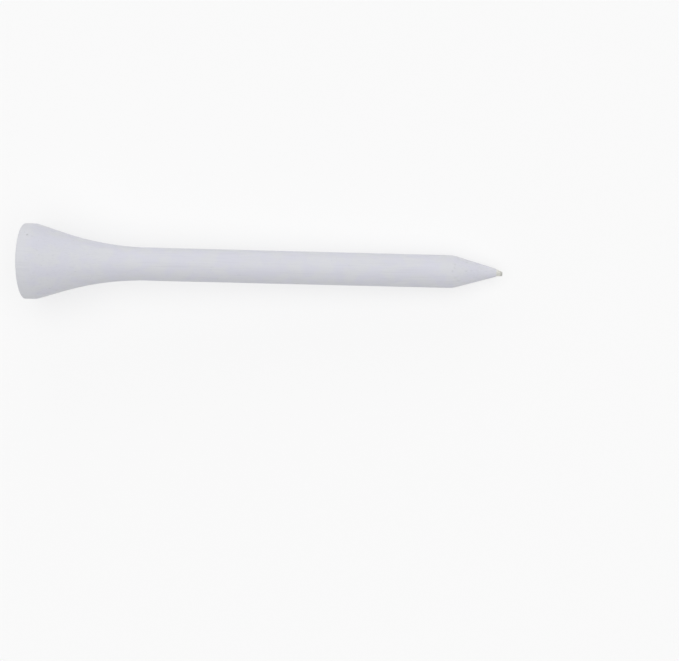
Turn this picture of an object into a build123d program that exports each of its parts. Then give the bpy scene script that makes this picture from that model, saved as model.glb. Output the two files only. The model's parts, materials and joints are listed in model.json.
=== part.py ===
from build123d import *
from math import asin, atan, atan2, cos, degrees, hypot, radians, sin, sqrt, tan
import os

# A painted wooden golf tee: one turned hardwood core and the film of white lacquer on it.
#
# The outline is drawn once, in stations along the tee's axis (0 at the rim's plane, growing towards
# the point) and radii square to it. Every curve of it is an arc about a fixed centre, so the wood's
# surface is the same outline with each curve sunk by the lacquer's thickness.
#
# Frame: millimetres, +Z up. The tee lies on its side on Z = 0, at rest on its head and on the
# shoulder of its point, with its cup towards -X. The origin is under the middle of its box.

# overall sizes
total_length = 70.0
head_diameter = 11.0
shank_diameter = 4.9

# rim and cup
lip_width = 0.75  # from the outside of the head in to the cup's edge
lip_outer_round = 0.30
lip_inner_round = 0.20
cup_depth = 2.2

# straight band around the mouth
band_height = 1.7  # from the rim's plane to where the band turns in
band_round = 1.0

# flare from the head down to the shank
flare_angle = 17.5  # half-angle of its straight cone
flare_round = 40.0

# point
point_length = 6.4  # shank's corner to the end of the lacquer
shoulder_round = 4.0
nib_length = 0.9  # bare wood past the lacquer
nib_lacquer_diameter = 1.25  # outside of the lacquer where it ends
nib_end_diameter = 0.8

# lacquer film, several tumbled coats
lacquer_thickness = 0.10

head_radius = head_diameter / 2
shank_radius = shank_diameter / 2
nib_station = total_length - nib_length

# The cup is part of a sphere centred in front of the rim, and the inner lip rounds over onto it.
cup_edge_radius = head_radius - lip_width
cup_radius = (cup_edge_radius**2 + cup_depth**2) / (2 * cup_depth)
cup_centre = cup_depth - cup_radius
lip_centre_radius = sqrt((cup_radius + lip_inner_round) ** 2 - (lip_inner_round - cup_centre) ** 2)
cup_edge_angle = degrees(atan2(lip_centre_radius, lip_inner_round - cup_centre))

# The band turns in onto the flare's cone, which runs to the long hollow arc that meets the shank.
band_turn_radius = head_radius - band_round
cone_start_station = band_height + band_round * sin(radians(flare_angle))
cone_start_radius = band_turn_radius + band_round * cos(radians(flare_angle))
cone_end_radius = shank_radius + flare_round * (1 - cos(radians(flare_angle)))
cone_run = (cone_start_radius - cone_end_radius) / tan(radians(flare_angle))
flare_end_station = cone_start_station + cone_run + flare_round * sin(radians(flare_angle))

# The point's cone leaves the shank over a round shoulder.
point_angle = degrees(atan((shank_radius - nib_lacquer_diameter / 2) / point_length))
shoulder_tangent = shoulder_round * tan(radians(point_angle / 2))
shoulder_station = nib_station - point_length - shoulder_tangent
shoulder_centre_radius = shank_radius - shoulder_round

# Lying down, the tee touches the floor where one line is tangent to the band's turn and the shoulder.
rest_run = shoulder_station - band_height
rest_drop = band_turn_radius - shoulder_centre_radius
lean = degrees(
    atan2(rest_drop, rest_run) + asin((band_round - shoulder_round) / hypot(rest_run, rest_drop))
)
lean_cos = cos(radians(lean))
lean_sin = sin(radians(lean))
rim_z = band_height * lean_sin + band_turn_radius * lean_cos + band_round

# The box reaches from the bottom of the rim to the top of the nib's end.
box_start = lip_outer_round * (lean_cos - 1) - (head_radius - lip_outer_round) * lean_sin
box_end = total_length * lean_cos + nib_end_diameter / 2 * lean_sin
rim_x = -(box_start + box_end) / 2
lying = Pos(rim_x, 0, rim_z) * Rot(0, lean, 0)


def outline(inset):
    """Edges from the cup's bottom over the rim and along the tee to the lacquer's end, sunk by inset."""
    cup = CenterArc((cup_centre, 0), cup_radius + inset, 0, cup_edge_angle)
    inner_lip = CenterArc(
        (lip_inner_round, lip_centre_radius),
        lip_inner_round - inset,
        180 + cup_edge_angle,
        -cup_edge_angle,
    )
    outer_lip = CenterArc(
        (lip_outer_round, head_radius - lip_outer_round), lip_outer_round - inset, 180, -90
    )
    band_turn = CenterArc((band_height, band_turn_radius), band_round - inset, 90, -flare_angle)
    flare = CenterArc(
        (flare_end_station, shank_radius + flare_round),
        flare_round + inset,
        270 - flare_angle,
        flare_angle,
    )
    shoulder = CenterArc(
        (shoulder_station, shoulder_centre_radius), shoulder_round - inset, 90, -point_angle
    )
    lacquer_end = (nib_station, nib_lacquer_diameter / 2 - inset / cos(radians(point_angle)))
    return [
        cup,
        inner_lip,
        Line(inner_lip @ 1, outer_lip @ 0),
        outer_lip,
        Line(outer_lip @ 1, band_turn @ 0),
        band_turn,
        Line(band_turn @ 1, flare @ 0),
        flare,
        Line(flare @ 1, shoulder @ 0),
        shoulder,
        Line(shoulder @ 1, lacquer_end),
    ]


def turned(edges):
    """The solid that a closed outline sweeps about the tee's axis, laid in the tee's resting place."""
    return lying * revolve(make_face(edges), Axis.X)


def make_wood_core():
    """Turned hardwood: cup, head, flare, shank and point, with its bare nib standing out of the film."""
    surface = outline(lacquer_thickness)
    nib = Polyline(
        surface[-1] @ 1,
        (total_length, nib_end_diameter / 2),
        (total_length, 0),
        surface[0] @ 0,
    )
    return turned([*surface, nib])


def make_lacquer_coat():
    """Closed film over the whole tee, cup and all, that stops in an open edge at the nib."""
    outside = outline(0)
    inside = outline(lacquer_thickness)
    edge = Line(outside[-1] @ 1, inside[-1] @ 1)
    cup_bottom = Line(outside[0] @ 0, inside[0] @ 0)
    return turned([*outside, edge, *inside, cup_bottom])


os.makedirs("parts", exist_ok=True)
export_step(make_wood_core(), "parts/wood_core.step")
export_step(make_lacquer_coat(), "parts/lacquer_coat.step")
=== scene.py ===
import json
from math import atan, atan2, cos, degrees, hypot, pi, radians, sin, sqrt, tan

import bmesh
import bpy
import numpy as np
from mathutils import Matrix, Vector, noise


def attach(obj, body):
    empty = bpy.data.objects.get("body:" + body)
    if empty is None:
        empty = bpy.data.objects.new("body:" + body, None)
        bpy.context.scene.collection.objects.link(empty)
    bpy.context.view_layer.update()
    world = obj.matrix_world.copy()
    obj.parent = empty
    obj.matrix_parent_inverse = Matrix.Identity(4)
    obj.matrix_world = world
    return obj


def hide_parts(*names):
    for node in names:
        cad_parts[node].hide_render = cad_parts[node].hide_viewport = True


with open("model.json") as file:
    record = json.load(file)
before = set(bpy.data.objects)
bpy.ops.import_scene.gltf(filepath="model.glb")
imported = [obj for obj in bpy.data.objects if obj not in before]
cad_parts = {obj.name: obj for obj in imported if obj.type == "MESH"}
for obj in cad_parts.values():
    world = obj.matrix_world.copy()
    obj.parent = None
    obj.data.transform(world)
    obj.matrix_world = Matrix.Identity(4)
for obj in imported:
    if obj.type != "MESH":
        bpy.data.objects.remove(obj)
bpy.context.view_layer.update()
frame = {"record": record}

# A white-lacquered wooden golf tee lying on a pale floor, seen from straight above at close range.
#
# Both pieces are turned in mesh code. One outline is drawn in stations, in millimetres along the
# tee's axis from the rim's plane, and radii. It is swept about the axis, and the small relief of
# lacquer on turned wood is laid on it: grain, growth rings, turning rings, orange peel, dust and
# scuffs. Angles go round the tee from its top towards +Y. Where it lies comes from the mounts.

MM = 0.001

# sizes of the tee, in millimetres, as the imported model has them
HEAD_RADIUS = 5.5
TOTAL_LENGTH = 70.0
LIP_WIDTH = 0.75
LIP_OUTER_ROUND = 0.30
LIP_INNER_ROUND = 0.20
CUP_DEPTH = 2.2
BAND_HEIGHT = 1.7
BAND_ROUND = 1.0
FLARE_ANGLE = 17.5
FLARE_ROUND = 40.0
POINT_LENGTH = 6.4
SHOULDER_ROUND = 4.0
NIB_LENGTH = 0.9
NIB_LACQUER_RADIUS = 0.625
LACQUER_THICKNESS = 0.10

# fineness of the meshes: vertices round the tee, and spacing in millimetres along its outline
LACQUER_SEGMENTS = 208
WOOD_SEGMENTS = 112
CUP_SPACING = 0.16
INNER_LIP_SPACING = 0.04
OUTER_LIP_SPACING = 0.06
BAND_TURN_SPACING = 0.08
FLARE_SPACING = 0.18
SHOULDER_SPACING = 0.10
STRAIGHT_SPACINGS = [0.10, 0.10, 0.12, 0.15, 0.28, 0.12]  # after each of those curves in turn
INSIDE_COARSENESS = 8.0  # of the lacquer's inner face, which is never seen
WOOD_COARSENESS = 3.0
SAME_PLACE = 1e-6  # stations nearer than this become one

# gap between the lacquer's inner face and the wood's surface, in millimetres
WOOD_CLEARANCE = 0.002

# relief of the lacquer, in millimetres
RELIEF_SINK = 0.030
TURNING_PITCH = 0.55
RING_SPACING = 0.95
HEART_UP = -7.0  # the tree's heart, from the tee's axis
HEART_SIDE = 9.0
DUST_SPECKS = 150
DUST_SEED = 11

# end of the lacquer at the nib, in millimetres
RAGGED_BY = 0.07
RAGGED_BACK = 0.05
RAGGED_LENGTH = 0.9
LACQUER_EDGE = 0.02

# bare nib, in millimetres
NIB_ROWS = 28
NIB_FACE_ROWS = 8
NIB_END_RADIUS = 0.405
NIB_FULLER_BY = 0.10  # towards -Y at its end
NIB_SPLIT_AT = 0.56  # how far out the wood is left on the +Y side, where the nib starts
NIB_SPLIT_TAPER = 0.46
NIB_FACE_SET_BACK = 0.01
NIB_FACE_TORN = 0.10

# where the tee lies
mounts = {mount["name"]: mount for mount in frame["record"]["mounts"]}
RIM = np.array(mounts["ball_seat"]["pos_m"]) / MM
ALONG = -np.array(mounts["ball_seat"]["axis"], float)
ALONG /= np.linalg.norm(ALONG)
ACROSS = np.array([0.0, 1.0, 0.0])
UPWARD = np.cross(ALONG, ACROSS)
LEAN = atan2(-ALONG[2], ALONG[0])
SHANK_RADIUS = mounts["shank"]["dims"]["r_mm"]

NIB_STATION = TOTAL_LENGTH - NIB_LENGTH
SHOULDER_STATION = NIB_STATION - POINT_LENGTH
POINT_SLOPE = (SHANK_RADIUS - NIB_LACQUER_RADIUS) / POINT_LENGTH

# Marks in the lacquer: station, angle, half length, half width, depth and darkening. The darkening
# is painted shade in the hollows of the pits, and worn, thin lacquer in the scuffs. A depth below 0
# stands proud.
PITS = [
    (1.35, 40, 0.22, 0.22, 0.075, 0.60),
    (0.90, 45, 0.13, 0.13, 0.030, 0.30),
    (2.95, 14, 0.16, 0.16, 0.020, 0.12),
    (3.25, 7, 0.18, 0.15, 0.020, 0.12),
    (4.30, -58, 0.24, 0.18, 0.030, 0.18),
    (4.75, -64, 0.18, 0.22, -0.014, 0.0),
    (5.10, -72, 0.26, 0.18, 0.030, 0.18),
    (27.3, -9, 0.40, 0.16, 0.014, 0.08),
    (31.2, -35, 0.45, 0.14, 0.016, 0.10),
    (42.9, -48, 0.28, 0.14, -0.016, 0.0),
    (51.0, 150, 0.34, 0.18, 0.022, 0.15),
    (17.5, 205, 0.20, 0.20, 0.030, 0.25),
]
SHOULDER_SCUFFS = [
    (62.60, 23, 0.22, 0.26, 0.022, 0.16),
    (62.50, 10, 0.18, 0.28, 0.018, 0.13),
    (62.20, -2, 0.22, 0.26, 0.022, 0.16),
    (64.45, 44, 0.30, 0.20, 0.025, 0.20),
    (64.35, 0, 0.30, 0.15, 0.020, 0.20),
    (65.15, 3, 0.42, 0.13, 0.018, 0.16),
    (63.25, -40, 0.36, 0.20, 0.022, 0.14),
    (62.65, -27, 0.30, 0.17, 0.018, 0.12),
    (63.50, 48, 0.60, 0.16, -0.020, 0.0),
    (63.10, 115, 0.36, 0.20, 0.022, 0.16),
    (62.70, 172, 0.26, 0.30, 0.025, 0.18),
    (64.60, 228, 0.42, 0.17, 0.020, 0.14),
]
GRAIN_LINES = [
    (7.6, -34, 1.1, 0.10, 0.014, 0.0),
    (8.7, -38, 1.0, 0.10, -0.010, 0.0),
    (13.0, -33, 1.8, 0.12, 0.018, 0.0),
    (22.0, -52, 2.6, 0.12, 0.014, 0.0),
    (36.5, 38, 3.2, 0.12, 0.010, 0.0),
    (55.0, -50, 2.8, 0.12, 0.014, 0.0),
    (28.0, 128, 3.0, 0.12, 0.014, 0.0),
    (11.0, 172, 2.0, 0.12, 0.018, 0.0),
    (46.0, 236, 2.8, 0.12, 0.014, 0.0),
]
MARKS = PITS + SHOULDER_SCUFFS + GRAIN_LINES

# studio
ROOM = 0.975
ROOM_ABOVE = 0.25
ROOM_DARK_SIDE = 0.2
KEY_STRENGTH = 2.35
KEY_ANGLE = 90
SIDE_STRENGTH = 0.25
SIDE_ANGLE = 30
SIDE_HEIGHT = 15
FLOOR_TONE = 0.28
FLOOR_GLOW = 0.63
FLOOR_HALF_SIZE = 4.0

# where the room changes, as the Y or Z part of a direction of length 1
DARK_SIDE_STARTS = -0.3
DARK_SIDE_FULL = -0.75
HORIZON_TOP = 0.18
HORIZON_FULL = 0.08
OVERHEAD_FULL = 0.55
OVERHEAD_STARTS = 0.26

# camera: lens and sensor in millimetres, turn in radians, the rest in metres in the row frame,
# with CAMERA_ALONG counted from the rim's centre along X
CAMERA_LENS = 55.14
CAMERA_SENSOR = 36.0
CAMERA_ALONG = 0.04597
CAMERA_ACROSS = -0.009087
CAMERA_HEIGHT = 0.15661
CAMERA_TURN = 0.022
CAMERA_NEAREST = 0.005


# --- outline -------------------------------------------------------------------------------------


def arc(centre, radius, start, turn, side, spacing):
    """Stations, radii and normals along an arc. side is 1 where it bulges out and -1 where in."""
    steps = max(2, int(abs(radians(turn)) * radius / spacing) + 1)
    angles = np.radians(start + turn * np.linspace(0, 1, steps + 1))
    station = centre[0] + radius * np.cos(angles)
    out = centre[1] + radius * np.sin(angles)
    return np.column_stack([station, out, side * np.cos(angles), side * np.sin(angles)])


def straight(first, last, spacing):
    """The same for a straight line between two points, without its ends."""
    run, climb = last[0] - first[0], last[1] - first[1]
    length = hypot(run, climb)
    steps = max(1, int(length / spacing))
    share = np.linspace(0, 1, steps + 1)[1:-1, None]
    points = np.array(first) + share * np.array([run, climb])
    normal = np.array([-climb, run]) / length
    return np.column_stack([points, np.tile(normal, (len(points), 1))])


def outline(inset, coarse=1.0):
    """The outline from the cup's bottom to the lacquer's end, sunk by inset."""
    edge_radius = HEAD_RADIUS - LIP_WIDTH
    cup_radius = (edge_radius**2 + CUP_DEPTH**2) / (2 * CUP_DEPTH)
    cup_centre = CUP_DEPTH - cup_radius
    lip_centre = sqrt((cup_radius + LIP_INNER_ROUND) ** 2 - (LIP_INNER_ROUND - cup_centre) ** 2)
    cup_edge = degrees(atan2(lip_centre, LIP_INNER_ROUND - cup_centre))
    flare_angle = radians(FLARE_ANGLE)
    band_centre = HEAD_RADIUS - BAND_ROUND
    cone_end = SHANK_RADIUS + FLARE_ROUND * (1 - cos(flare_angle))
    cone_run = (band_centre + BAND_ROUND * cos(flare_angle) - cone_end) / tan(flare_angle)
    flare_end = BAND_HEIGHT + (BAND_ROUND + FLARE_ROUND) * sin(flare_angle) + cone_run
    point_angle = atan(POINT_SLOPE)
    shoulder_start = SHOULDER_STATION - SHOULDER_ROUND * tan(point_angle / 2)
    end_radius = NIB_LACQUER_RADIUS - inset / cos(point_angle)
    cup = arc((cup_centre, 0), cup_radius + inset, 0, cup_edge, -1, CUP_SPACING * coarse)
    inner_lip = arc(
        (LIP_INNER_ROUND, lip_centre),
        LIP_INNER_ROUND - inset,
        180 + cup_edge,
        -cup_edge,
        1,
        INNER_LIP_SPACING * coarse,
    )
    outer_lip = arc(
        (LIP_OUTER_ROUND, HEAD_RADIUS - LIP_OUTER_ROUND),
        LIP_OUTER_ROUND - inset,
        180,
        -90,
        1,
        OUTER_LIP_SPACING * coarse,
    )
    band_turn = arc(
        (BAND_HEIGHT, band_centre),
        BAND_ROUND - inset,
        90,
        -FLARE_ANGLE,
        1,
        BAND_TURN_SPACING * coarse,
    )
    flare = arc(
        (flare_end, SHANK_RADIUS + FLARE_ROUND),
        FLARE_ROUND + inset,
        270 - FLARE_ANGLE,
        FLARE_ANGLE,
        -1,
        FLARE_SPACING * coarse,
    )
    shoulder = arc(
        (shoulder_start, SHANK_RADIUS - SHOULDER_ROUND),
        SHOULDER_ROUND - inset,
        90,
        -degrees(point_angle),
        1,
        SHOULDER_SPACING * coarse,
    )
    end = np.array([[NIB_STATION, end_radius, sin(point_angle), cos(point_angle)]])
    curves = [cup, inner_lip, outer_lip, band_turn, flare, shoulder, end]
    rows = [cup]
    for before, after, spacing in zip(curves, curves[1:], STRAIGHT_SPACINGS):
        rows.append(straight(before[-1, :2], after[0, :2], spacing * coarse))
        rows.append(after)
    rows = np.vstack(rows)
    apart = np.hypot(*np.diff(rows[:, :2], axis=0).T) > SAME_PLACE
    return rows[np.concatenate([[True], apart])]


# --- relief --------------------------------------------------------------------------------------


def rise(low, high, value):
    """0 below low, 1 above high, and a smooth rise between."""
    share = np.clip((value - low) / (high - low), 0, 1)
    return share * share * (3 - 2 * share)


def bumps(station, out, angle, across, along, seed):
    """Noise between about -1 and 1, in cells so wide across the tee and so long along it."""
    x = out * np.cos(angle) / across + 17.3 * seed
    y = out * np.sin(angle) / across - 5.1 * seed
    z = station / along + 3.7 * seed
    points = np.column_stack([x.ravel(), y.ravel(), z.ravel()])
    return np.array([noise.noise(point) for point in points]).reshape(station.shape)


def mound(station, out, angle, at, turn, half_length, half_width):
    """A soft-edged mound, 1 high, centred on a station and an angle in degrees."""
    round_by = (angle - radians(turn) + pi) % (2 * pi) - pi
    away = ((station - at) / half_length) ** 2 + (round_by * out / half_width) ** 2
    return np.exp(-1.5 * away)


def growth_rings(station, out, angle):
    """The wood's growth rings, cut through by the turned surface, seen as low ridges."""
    up = out * np.cos(angle) - HEART_UP
    side = out * np.sin(angle) - HEART_SIDE
    wander = 0.25 * bumps(station, out, angle, 3.0, 14.0, 7)
    depth_in_wood = np.hypot(up, side) + 0.012 * station + wander
    return (0.5 + 0.5 * np.sin(2 * pi * depth_in_wood / RING_SPACING)) ** 4


def dust(station, out, angle):
    """Specks of dust under the lacquer and tiny pores in it, scattered with a fixed seed."""
    dice = np.random.default_rng(DUST_SEED)
    height = np.zeros_like(station)
    for _ in range(DUST_SPECKS):
        at = dice.uniform(0.3, SHOULDER_STATION + 4)
        turn = dice.uniform(0, 360)
        size = dice.uniform(0.09, 0.17)
        tall = dice.choice([0.009, 0.006, -0.010, -0.016])
        near = np.abs(station[:, 0] - at) < 4 * size
        spot = station[near], out[near], angle[near]
        height[near] += tall * mound(*spot, at, turn, size * dice.uniform(1, 2), size)
    return height


def lacquer_relief(station, out, angle):
    """Height of the lacquer over its smooth outline, in millimetres, always below it."""
    fine_grain = 0.006 * bumps(station, out, angle, 0.17, 5.5, 1)
    orange_peel = 0.004 * bumps(station, out, angle, 0.42, 0.55, 3)
    waves = 0.012 * bumps(station, out, angle, 2.6, 4.5, 4)
    open_grain = 0.014 * rise(0.25, 0.7, bumps(station, out, angle, 0.15, 2.0, 2))
    rings = 0.005 * growth_rings(station, out, angle)
    height = fine_grain + orange_peel + waves - open_grain + rings
    steps = np.hypot(np.diff(station[:, 0]), np.diff(out[:, 0]))
    travel = np.concatenate([[0.0], np.cumsum(steps)])[:, None]
    wander = 2.0 * bumps(station, out, angle, 9.0, 1.5, 5)
    tool = np.sin(2 * pi * travel / TURNING_PITCH + wander)
    height += 0.003 * tool * (1 - 0.6 * rise(12, 22, station))
    height += dust(station, out, angle)
    for at, turn, half_length, half_width, depth, _ in MARKS:
        height -= depth * mound(station, out, angle, at, turn, half_length, half_width)
    return height - RELIEF_SINK


# --- meshes --------------------------------------------------------------------------------------


def place(station, out, angle):
    """Points in metres in the row frame."""
    around = np.cos(angle)[..., None] * UPWARD + np.sin(angle)[..., None] * ACROSS
    return (RIM + station[..., None] * ALONG + out[..., None] * around) * MM


def add_rings(mesh, points):
    """Adds rows of vertices, one row for each ring."""
    return [[mesh.verts.new(point) for point in ring] for ring in points]


def skin(mesh, rings):
    """Quads between neighbouring rings, each closed round the axis."""
    for near, far in zip(rings, rings[1:]):
        count = len(near)
        for i in range(count):
            j = (i + 1) % count
            mesh.faces.new((near[i], far[i], far[j], near[j]))


def cap(mesh, ring, centre):
    """A fan from a pole to a ring."""
    pole = mesh.verts.new(centre)
    for i in range(len(ring)):
        mesh.faces.new((pole, ring[i], ring[(i + 1) % len(ring)]))


def turned_piece(mesh, name, material):
    """Turns a closed bmesh into a smooth-shaded object that rides on the tee's one body."""
    bmesh.ops.recalc_face_normals(mesh, faces=mesh.faces[:])
    data = bpy.data.meshes.new(name)
    mesh.to_mesh(data)
    mesh.free()
    data.shade_smooth()
    data.materials.append(material)
    piece = bpy.data.objects.new(name, data)
    bpy.context.scene.collection.objects.link(piece)
    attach(piece, "root")
    return piece


def turned_grid(inset, segments, coarse):
    """Station, radius and angle of every vertex of a turned surface, and its rows' normals."""
    rows = outline(inset, coarse)
    angle = np.tile(np.linspace(0, 2 * pi, segments, endpoint=False), (len(rows), 1))
    station = np.repeat(rows[:, 0:1], segments, 1)
    out = np.repeat(rows[:, 1:2], segments, 1)
    return station, out, angle, rows[:, 2:3], rows[:, 3:4]


def ragged_end(station, out, angle):
    """Slides the last of the lacquer along the point, so that it ends in an uneven line."""
    reach = RAGGED_BY * bumps(station, out, angle, 0.30, 900.0, 6) - RAGGED_BACK
    slide = reach * rise(NIB_STATION - RAGGED_LENGTH, NIB_STATION, station)
    return station + slide, out - slide * POINT_SLOPE


def lacquer_coat(material):
    """The film of lacquer: its outside with its relief, its inside on the wood, and its edge."""
    mesh = bmesh.new()
    station, out, angle, lift, spread = turned_grid(0, LACQUER_SEGMENTS, 1.0)
    height = lacquer_relief(station, out, angle)
    outer_station, outer_out = ragged_end(station, out, angle)
    outer = place(outer_station + height * lift, outer_out + height * spread, angle)
    station, out, angle, _, _ = turned_grid(
        LACQUER_THICKNESS, LACQUER_SEGMENTS, INSIDE_COARSENESS
    )
    inner_station, inner_out = ragged_end(station, out, angle)
    inner = place(inner_station, inner_out, angle)
    edge_station = inner_station[-1:] + LACQUER_EDGE
    edge = place(edge_station, (outer_out[-1:] + inner_out[-1:]) / 2, angle[-1:])
    outside = add_rings(mesh, outer[1:])
    inside = add_rings(mesh, inner[1:])
    rounded = add_rings(mesh, edge)
    skin(mesh, outside + rounded + inside[::-1])
    cap(mesh, outside[0], outer[0].mean(0))
    cap(mesh, inside[0], inner[0].mean(0))
    piece = turned_piece(mesh, "lacquer_coat_skin", material)
    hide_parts("lacquer_coat")


def nib(segments, start_radius):
    """The bare nib: fuller on its -Y side, split away along its +Y side, torn off at its end."""
    angle = np.tile(np.linspace(0, 2 * pi, segments, endpoint=False), (NIB_ROWS, 1))
    share = np.linspace(0, 1, NIB_ROWS + 1)[1:, None] + 0 * angle
    station = NIB_STATION + share * NIB_LENGTH
    end_radius = NIB_END_RADIUS + NIB_FULLER_BY * np.maximum(-np.sin(angle), 0)
    out = start_radius + share * (end_radius - start_radius)
    splinters = 0.04 * bumps(station, out, angle, 0.09, 0.8, 8)
    split = NIB_SPLIT_AT - NIB_SPLIT_TAPER * share + splinters
    out = np.minimum(out, split / np.maximum(np.sin(angle), 0.05))
    fibres = 1 + bumps(station, out, angle, 0.06, 0.6, 9)
    out = out - 0.012 * fibres * rise(0.0, 0.2, share)
    torn = np.abs(bumps(station, out, angle, 0.08, 9.0, 10))
    station = station - 0.06 * torn * rise(0.7, 1.0, share)
    face = np.linspace(1, 0, NIB_FACE_ROWS + 1)[1:-1, None]
    face_out = out[-1:] * face
    face_angle = np.repeat(angle[:1], len(face), 0)
    face_torn = np.abs(bumps(0 * face_out, face_out, face_angle, 0.08, 9.0, 10))
    face_station = TOTAL_LENGTH - NIB_FACE_SET_BACK - NIB_FACE_TORN * face_torn
    return (
        np.vstack([station, face_station]),
        np.vstack([out, face_out]),
        np.vstack([angle, face_angle]),
    )


def wood_core(material):
    """The turned wood: plain where the lacquer hides it, and the bare nib in full."""
    mesh = bmesh.new()
    inset = LACQUER_THICKNESS + WOOD_CLEARANCE
    station, out, angle, _, _ = turned_grid(inset, WOOD_SEGMENTS, WOOD_COARSENESS)
    nib_station, nib_out, nib_angle = nib(WOOD_SEGMENTS, out[-1, 0])
    station = np.vstack([station, nib_station])
    out = np.vstack([out, nib_out])
    angle = np.vstack([angle, nib_angle])
    points = place(station, out, angle)
    rings = add_rings(mesh, points[1:])
    skin(mesh, rings)
    cap(mesh, rings[0], points[0].mean(0))
    cap(mesh, rings[-1], points[-1].mean(0))
    piece = turned_piece(mesh, "wood_core_turned", material)
    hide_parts("wood_core")


# --- materials -----------------------------------------------------------------------------------


class Nodes:
    """A new node material, and a short way to add linked nodes to it."""

    def __init__(self, name):
        self.material = bpy.data.materials.new(name)
        self.material.use_nodes = True
        self.tree = self.material.node_tree
        self.shader = self.tree.nodes["Principled BSDF"]

    def add(self, kind, inputs, **settings):
        """A new node of this kind, with its inputs linked or set."""
        node = self.tree.nodes.new("ShaderNode" + kind)
        for key, value in settings.items():
            setattr(node, key, value)
        for key, value in inputs.items():
            self.set_input(node, key, value)
        return node

    def set_input(self, node, key, value):
        """Links a socket to an input, or sets the input to a plain value."""
        if isinstance(value, bpy.types.NodeSocket):
            self.tree.links.new(value, node.inputs[key])
        else:
            node.inputs[key].default_value = value

    def tee_space(self):
        """Places in millimetres from the rim's centre: X along the tee, Y to its side, Z up."""
        lying = np.array([RIM @ ALONG, RIM @ ACROSS, RIM @ UPWARD])
        inputs = {
            "Vector": self.add("TexCoord", {}).outputs["Object"],
            "Location": -Vector(lying),
            "Rotation": (0, -LEAN, 0),
            "Scale": (1 / MM, 1 / MM, 1 / MM),
        }
        return self.add("Mapping", inputs).outputs["Vector"]

    def noise(self, vector, along, across, detail=3.0):
        """Noise with so many cells to a millimetre along the tee and across it."""
        scaled = self.add("Mapping", {"Vector": vector, "Scale": (along, across, across)})
        inputs = {"Vector": scaled.outputs["Vector"], "Scale": 1.0, "Detail": detail}
        return self.add("TexNoise", inputs).outputs["Fac"]

    def span(self, value, low, high, first, last):
        """Maps low..high to first..last, smoothly and no further."""
        inputs = {
            "Value": value,
            "From Min": low,
            "From Max": high,
            "To Min": first,
            "To Max": last,
        }
        return self.add("MapRange", inputs, interpolation_type="SMOOTHSTEP").outputs["Result"]

    def math(self, operation, first, second):
        """The result of a Math node on two values."""
        return self.add("Math", {0: first, 1: second}, operation=operation).outputs[0]

    def mix(self, share, first, second):
        """Mixes two colours, the second by so much."""
        inputs = {0: share, 6: first, 7: second}
        return self.add("Mix", inputs, data_type="RGBA").outputs[2]

    def bump(self, height, strength, distance):
        """Gives the shader's surface small bumps, where a height of 1 stands for distance in metres."""
        inputs = {"Height": height, "Strength": strength, "Distance": distance}
        self.set_input(self.shader, "Normal", self.add("Bump", inputs).outputs["Normal"])


def radius_at(station):
    """The lacquer's radius at a station."""
    rows = outline(0, coarse=4.0)
    outside = rows[rows[:, 3] > 0.5]
    return float(np.interp(station, outside[:, 0], outside[:, 1]))


def pit_shade_and_wear(nodes, tee):
    """1 in the darkest marks and 0 away from them: painted shade in the hollows of the pits, and
    worn, thin lacquer in the scuffs.
    """
    total = 0.0
    for at, turn, half_length, half_width, _, mark_darkening in MARKS:
        if mark_darkening == 0:
            continue
        out = radius_at(at)
        middle = Vector((at, out * sin(radians(turn)), out * cos(radians(turn))))
        size = Vector((half_length, half_width, half_width))
        scale = Vector(1 / side for side in size)
        inputs = {
            "Vector": tee,
            "Scale": scale,
            "Location": -Vector(a * b for a, b in zip(middle, scale)),
        }
        local = nodes.add("Mapping", inputs).outputs["Vector"]
        away = nodes.add("VectorMath", {0: local}, operation="LENGTH").outputs["Value"]
        total = nodes.math("ADD", nodes.span(away, 0.35, 1.05, mark_darkening, 0.0), total)
    return total


def lacquer_material():
    """Cool white satin lacquer, a little uneven in tone, with a paler band round the rim painted as a
    highlight, painted shade in the hollows of its pits, and worn, thin lacquer in its scuffs.
    """
    nodes = Nodes("white_lacquer")
    tee = nodes.tee_space()
    station = nodes.add("SeparateXYZ", {"Vector": tee}).outputs["X"]
    cool = (0.576, 0.578, 0.640, 1)
    neutral = (0.589, 0.595, 0.626, 1)
    grain_shade = (0.505, 0.51, 0.56, 1)
    speck_shade = (0.42, 0.42, 0.44, 1)
    # painted shade in the hollows of the pits, and worn, thin lacquer in the scuffs
    pit_shade_and_wear_tone = (0.30, 0.30, 0.31, 1)
    patches = nodes.span(nodes.noise(tee, 0.42, 0.55), 0.38, 0.62, 0, 1)
    # painted highlight: the lacquer is paler and less blue within about 2 mm of the rim's plane
    wandering = nodes.math("ADD", station, nodes.noise(tee, 0.5, 0.5))
    painted_rim_highlight = nodes.span(wandering, 1.5, 2.4, 0.9, 0)
    colour = nodes.mix(nodes.math("MAXIMUM", patches, painted_rim_highlight), cool, neutral)
    grain = nodes.span(nodes.noise(tee, 0.16, 6.0, 4.0), 0.30, 0.48, 0.35, 0)
    colour = nodes.mix(grain, colour, grain_shade)
    specks = nodes.span(nodes.noise(tee, 3.2, 3.2, 1.0), 0.72, 0.80, 0, 0.30)
    colour = nodes.mix(specks, colour, speck_shade)
    # darker in the marks: painted shade in the pits' hollows, worn, thin lacquer in the scuffs
    colour = nodes.mix(pit_shade_and_wear(nodes, tee), colour, pit_shade_and_wear_tone)
    nodes.set_input(nodes.shader, "Base Color", colour)
    roughness = nodes.span(nodes.noise(tee, 0.7, 1.1), 0.3, 0.7, 0.40, 0.54)
    nodes.set_input(nodes.shader, "Roughness", roughness)
    nodes.bump(nodes.noise(tee, 4.0, 6.0), 0.3, 0.000012)
    nodes.shader.inputs["IOR"].default_value = 1.48
    nodes.shader.inputs["Specular IOR Level"].default_value = 0.35
    return nodes.material


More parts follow.
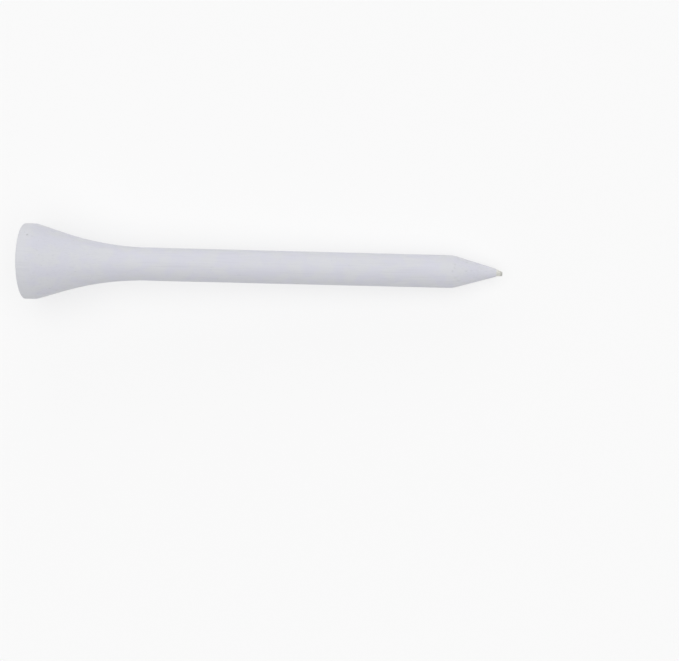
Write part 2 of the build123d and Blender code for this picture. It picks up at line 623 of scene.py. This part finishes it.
def wood_material():
    """Bare birch: pale long fibres, darker where the nib was torn off."""
    nodes = Nodes("bare_hardwood")
    tee = nodes.tee_space()
    station = nodes.add("SeparateXYZ", {"Vector": tee}).outputs["X"]
    dark_fibre = (0.51, 0.505, 0.465, 1)
    light_fibre = (0.66, 0.655, 0.615, 1)
    dark_pore = (0.36, 0.355, 0.33, 1)
    torn_wood = (0.54, 0.535, 0.505, 1)
    torn_starts = TOTAL_LENGTH - 0.40
    torn_full = TOTAL_LENGTH - 0.20
    fibre = nodes.noise(tee, 0.9, 13.0, 5.0)
    pale = nodes.mix(nodes.span(fibre, 0.36, 0.6, 0, 1), dark_fibre, light_fibre)
    pores = nodes.span(nodes.noise(tee, 12.0, 16.0, 2.0), 0.40, 0.62, 0, 1)
    torn = nodes.mix(pores, dark_pore, torn_wood)
    frayed = nodes.math("ADD", station, nodes.span(fibre, 0.3, 0.7, -0.08, 0.08))
    near_end = nodes.span(frayed, torn_starts, torn_full, 0, 1)
    nodes.set_input(nodes.shader, "Base Color", nodes.mix(near_end, pale, torn))
    nodes.set_input(nodes.shader, "Roughness", nodes.span(fibre, 0.3, 0.7, 0.88, 0.72))
    nodes.bump(fibre, 0.6, 0.00003)
    return nodes.material


def floor_material():
    """A plain pale sheet, lit from below like a light table so that shadows on it stay faint."""
    nodes = Nodes("floor_white")
    nodes.shader.inputs["Base Color"].default_value = (FLOOR_TONE, FLOOR_TONE, FLOOR_TONE, 1)
    nodes.shader.inputs["Roughness"].default_value = 0.9
    nodes.shader.inputs["Emission Color"].default_value = (1, 1, 1, 1)
    nodes.shader.inputs["Emission Strength"].default_value = FLOOR_GLOW
    return nodes.material


# --- stage ---------------------------------------------------------------------------------------


def floor():
    """A flat pale sheet under the tee."""
    mesh = bmesh.new()
    bmesh.ops.create_grid(mesh, x_segments=8, y_segments=8, size=FLOOR_HALF_SIZE)
    data = bpy.data.meshes.new("floor")
    mesh.to_mesh(data)
    mesh.free()
    data.materials.append(floor_material())
    sheet = bpy.data.objects.new("floor", data)
    bpy.context.scene.collection.objects.link(sheet)


def soft_light(name, strength, angle, height):
    """One broad soft light, at its height in degrees on the tee's +Y side."""
    data = bpy.data.lights.new(name, "SUN")
    data.energy = strength
    data.angle = radians(angle)
    lamp = bpy.data.objects.new(name, data)
    lamp.rotation_euler = (radians(height - 90), 0, 0)
    bpy.context.scene.collection.objects.link(lamp)


def fade(tree, value, start, end, first, last):
    """A smooth change from first to last while value goes from start to end."""
    node = tree.nodes.new("ShaderNodeMapRange")
    node.interpolation_type = "SMOOTHSTEP"
    settings = {
        "Value": value,
        "From Min": start,
        "From Max": end,
        "To Min": first,
        "To Max": last,
    }
    for name, setting in settings.items():
        if isinstance(setting, float):
            node.inputs[name].default_value = setting
        else:
            tree.links.new(setting, node.inputs[name])
    return node.outputs["Result"]


def room():
    """A pale room, as bright as the floor at the horizon, dim overhead, dark over the -Y side."""
    world = bpy.data.worlds.new("room")
    bpy.context.scene.world = world
    world.use_nodes = True
    tree = world.node_tree
    direction = tree.nodes.new("ShaderNodeTexCoord").outputs["Generated"]
    split = tree.nodes.new("ShaderNodeSeparateXYZ")
    tree.links.new(direction, split.inputs["Vector"])
    walls = fade(tree, split.outputs["Y"], DARK_SIDE_STARTS, DARK_SIDE_FULL, ROOM, ROOM_DARK_SIDE)
    horizon = fade(tree, split.outputs["Z"], HORIZON_TOP, HORIZON_FULL, walls, ROOM)
    overhead = fade(tree, split.outputs["Z"], OVERHEAD_FULL, OVERHEAD_STARTS, ROOM_ABOVE, horizon)
    background = tree.nodes["Background"]
    background.inputs["Color"].default_value = (1, 1, 1, 1)
    tree.links.new(overhead, background.inputs["Strength"])


def camera():
    """Straight above the tee, turned a little, at the height that fits the tee's outline."""
    data = bpy.data.cameras.new("camera")
    data.lens = CAMERA_LENS
    data.sensor_width = CAMERA_SENSOR
    data.clip_start = CAMERA_NEAREST
    eye = bpy.data.objects.new("camera", data)
    eye.location = (RIM[0] * MM + CAMERA_ALONG, CAMERA_ACROSS, CAMERA_HEIGHT)
    eye.rotation_euler = (0, 0, CAMERA_TURN)
    bpy.context.scene.collection.objects.link(eye)
    bpy.context.scene.camera = eye


lacquer_coat(lacquer_material())
wood_core(wood_material())
floor()
soft_light("key", KEY_STRENGTH, KEY_ANGLE, 90)
soft_light("side", SIDE_STRENGTH, SIDE_ANGLE, SIDE_HEIGHT)
room()
camera()
bpy.context.scene.view_settings.view_transform = "Standard"
